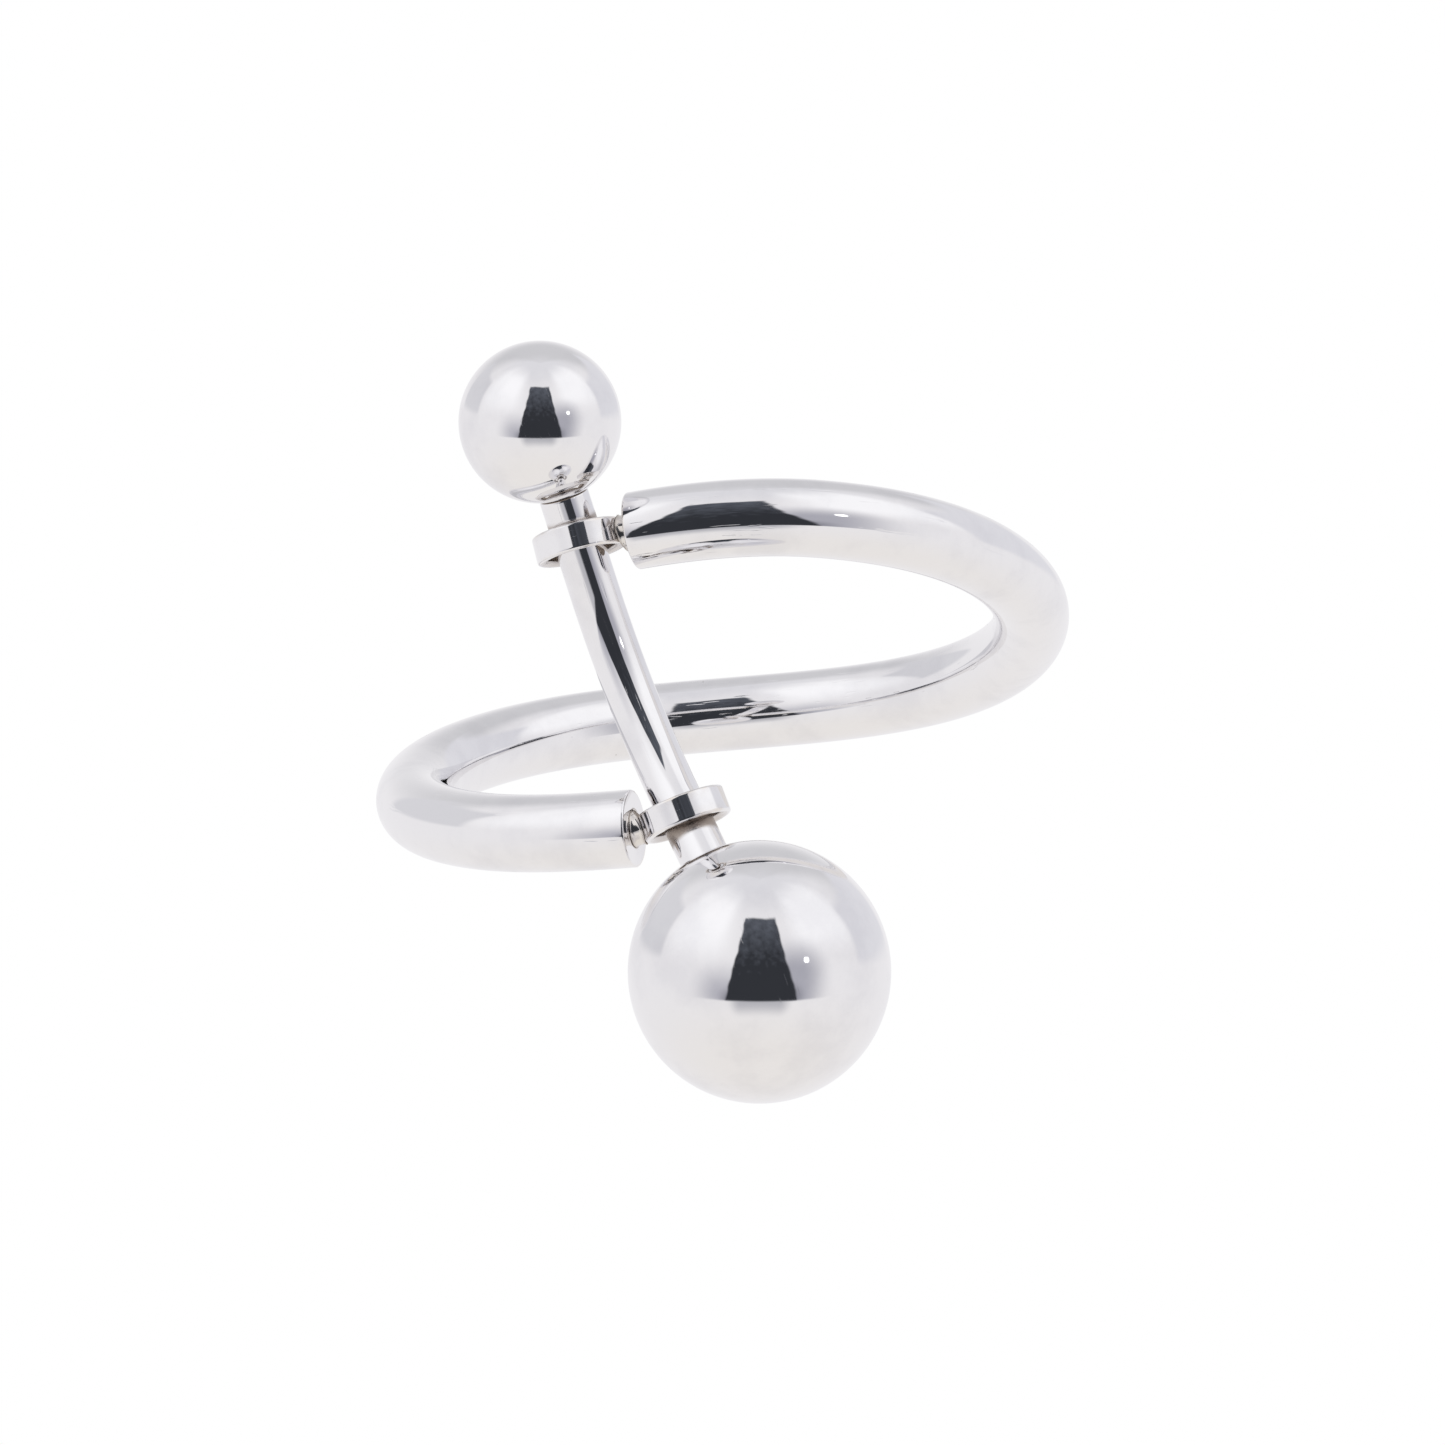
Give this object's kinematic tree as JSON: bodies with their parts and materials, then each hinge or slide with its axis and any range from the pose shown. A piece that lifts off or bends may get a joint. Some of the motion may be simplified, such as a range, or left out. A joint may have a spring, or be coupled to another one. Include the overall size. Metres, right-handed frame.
{
  "type": "spiral finger ring with ball-ended bar",
  "caption": "Open spiral finger ring of round wire whose end eyelets hold a loose curved bar with a small and a large ball.",
  "frame": {"origin": "centre of the finger hole, midway in height between the two cut wire ends", "axes": "+Z along the finger hole towards the small ball, -Y towards the front where the bar is, +X to the right seen from the front"},
  "size_m": [0.0222, 0.0267, 0.0237],
  "materials": {
    "band_metal": "mirror-polished rhodium-coloured plating",
    "peg_metal": "plated over a soldered joint, slightly uneven",
    "eyelet_metal": "mirror-polished rhodium-coloured plating",
    "bar_metal": "polished plating with faint rubbing lines",
    "small_ball_metal": "mirror-polished plating",
    "large_ball_metal": "mirror-polished plating with hairline scratches"
  },
  "bodies": {
    "ring": {"spiral_band": "band_metal", "upper_post": "peg_metal", "lower_post": "peg_metal", "upper_eyelet": "eyelet_metal", "lower_eyelet": "eyelet_metal"},
    "bar": {"bar": "bar_metal", "large_ball": "large_ball_metal"},
    "small_ball": {"small_ball": "small_ball_metal"}
  },
  "joints": [
    {"name": "bar_slide", "type": "hinge", "parent": "ring", "child": "bar", "pos_m": [0.0046, -0.02072, 0.00174], "axis": [0.8567, 0.4147, 0.3067], "range_deg": [-3.6, 4.5]},
    {"name": "small_ball_turn", "type": "hinge", "parent": "bar", "child": "small_ball", "pos_m": [-0.00217, -0.01136, 0.00798], "axis": [-0.1748, -0.3261, 0.929], "continuous": true}
  ]
}
